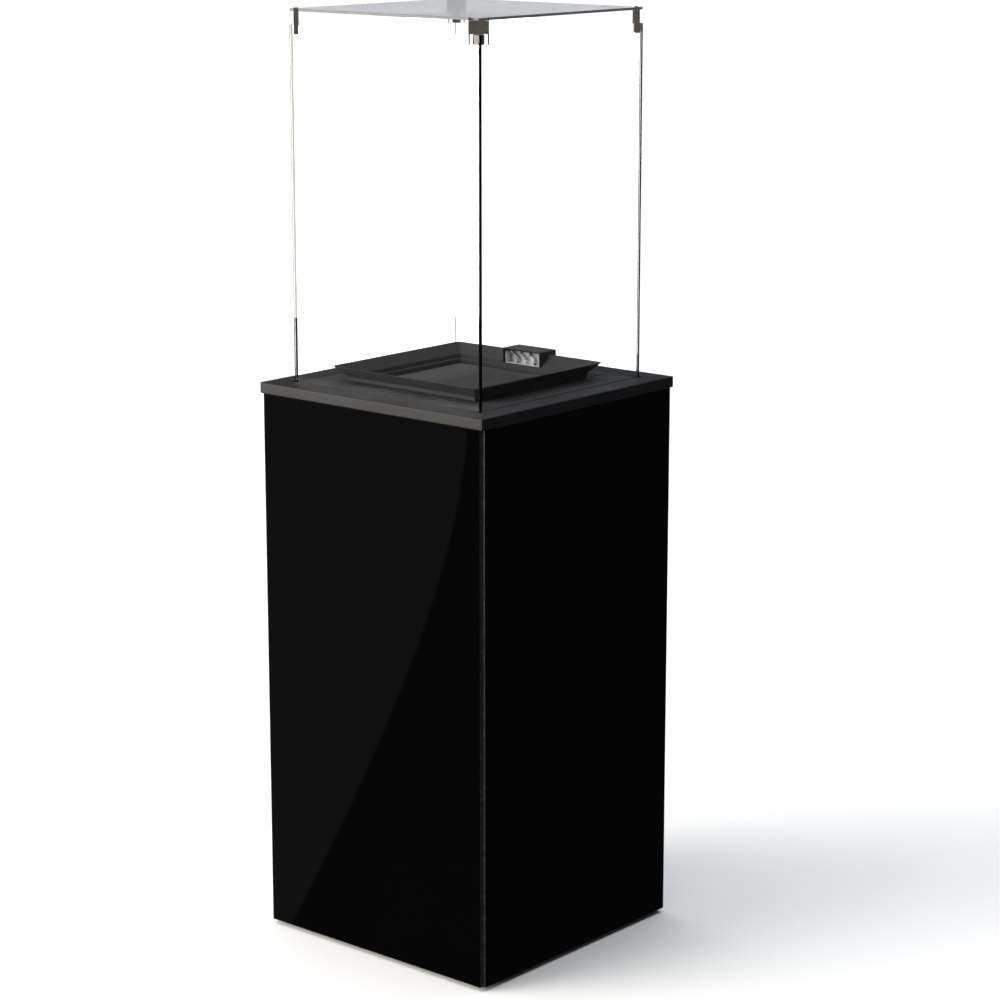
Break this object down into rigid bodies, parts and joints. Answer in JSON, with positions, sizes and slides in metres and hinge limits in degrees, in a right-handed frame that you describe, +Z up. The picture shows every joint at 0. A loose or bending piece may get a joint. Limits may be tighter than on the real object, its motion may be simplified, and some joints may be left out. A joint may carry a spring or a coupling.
{
  "type": "outdoor gas heater",
  "caption": "Free-standing square gas patio heater: black glass cabinet with a rear door, powder-coated lid, burner tray and a glass-walled flame chamber with a glass cover.",
  "frame": {"origin": "on the floor, under the middle of the square base", "axes": "+Z up; the front glass panel faces -Y, the hinged door faces +Y and +X is to the right seen from the front"},
  "size_m": [0.476, 0.476, 1.5217],
  "materials": {
    "black_glass": "back-painted black float glass, polished",
    "clear_glass": "clear toughened glass with polished edges",
    "tinted_glass": "grey-tinted toughened glass",
    "lid_paint": "dark grey fine-textured powder coat",
    "tray_paint": "heat-resistant matt dark grey paint",
    "frame_steel": "dark grey primer on folded steel",
    "galvanised": "galvanised sheet, bright",
    "bright_steel": "polished stainless steel",
    "brass": "machined brass",
    "copper": "drawn copper tube",
    "black_plastic": "moulded black plastic, lightly textured",
    "white_ceramic": "glazed white ceramic insulator",
    "rubber": "black rubber"
  },
  "bodies": {
    "cabinet": {"base_plate": "frame_steel", "bracket_front_left": "bright_steel", "bracket_front_right": "bright_steel", "bracket_rear_left": "bright_steel", "bracket_rear_right": "bright_steel", "burner_chamber": "galvanised", "burner_deck": "lid_paint", "burner_plate": "tray_paint", "burner_tray": "tray_paint", "control_box": "black_plastic", "cover_glass": "tinted_glass", "foot_front_left": "rubber", "foot_front_right": "rubber", "foot_rear_left": "rubber", "foot_rear_right": "rubber", "front_backing_sheet": "frame_steel", "front_glass_panel": "black_glass", "gas_inlet": "brass", "gas_valve": "galvanised", "ignition_lead": "black_plastic", "left_backing_sheet": "frame_steel", "left_glass_panel": "black_glass", "lower_hinge_fixed_leaf": "bright_steel", "main_gas_pipe": "copper", "pane_front": "clear_glass", "pane_left": "clear_glass", "pane_rear": "clear_glass", "pane_right": "clear_glass", "pilot_bracket": "galvanised", "pilot_burner": "bright_steel", "pilot_hood": "tray_paint", "pilot_pipe": "copper", "post_front_left": "frame_steel", "post_front_right": "frame_steel", "post_rear_left": "frame_steel", "post_rear_right": "frame_steel", "rail_front": "frame_steel", "rail_left": "frame_steel", "rail_rear": "frame_steel", "rail_right": "frame_steel", "right_backing_sheet": "frame_steel", "right_glass_panel": "black_glass", "sensor_lens": "black_plastic", "spark_electrode": "white_ceramic", "thermocouple": "bright_steel", "thermocouple_lead": "copper", "top_lid": "lid_paint", "upper_hinge_fixed_leaf": "bright_steel", "valve_shelf": "galvanised"},
    "door": {"door_pan": "frame_steel", "door_glass_panel": "black_glass", "lower_hinge_door_leaf": "bright_steel", "upper_hinge_door_leaf": "bright_steel", "lock_housing": "bright_steel", "lock_nut": "bright_steel"},
    "door_lock": {"lock_plug": "bright_steel", "lock_cam": "galvanised"},
    "gas_knob": {"valve_knob": "black_plastic"},
    "battery_slide": {"battery_cover": "black_plastic"},
    "mode_slide": {"mode_switch": "black_plastic"}
  },
  "joints": [
    {"name": "door_hinge", "type": "hinge", "parent": "cabinet", "child": "door", "pos_m": [-0.23375, 0.23375, 0.454], "axis": [0, 0, 1], "range_deg": [0, 110]},
    {"name": "lock_turn", "type": "hinge", "parent": "door", "child": "door_lock", "pos_m": [0.18, 0.2365, 0.5], "axis": [0, -1, 0], "range_deg": [0, 90]},
    {"name": "valve_knob_turn", "type": "hinge", "parent": "cabinet", "child": "gas_knob", "pos_m": [-0.03, 0.0253, 0.8228], "axis": [0, 1, 0], "range_deg": [0, 90]},
    {"name": "battery_cover_slide", "type": "slide", "parent": "cabinet", "child": "battery_slide", "axis": [-1, 0, 0], "range_m": [0, 0.03]},
    {"name": "mode_switch_slide", "type": "slide", "parent": "cabinet", "child": "mode_slide", "axis": [1, 0, 0], "range_m": [-0.003, 0.003]}
  ]
}
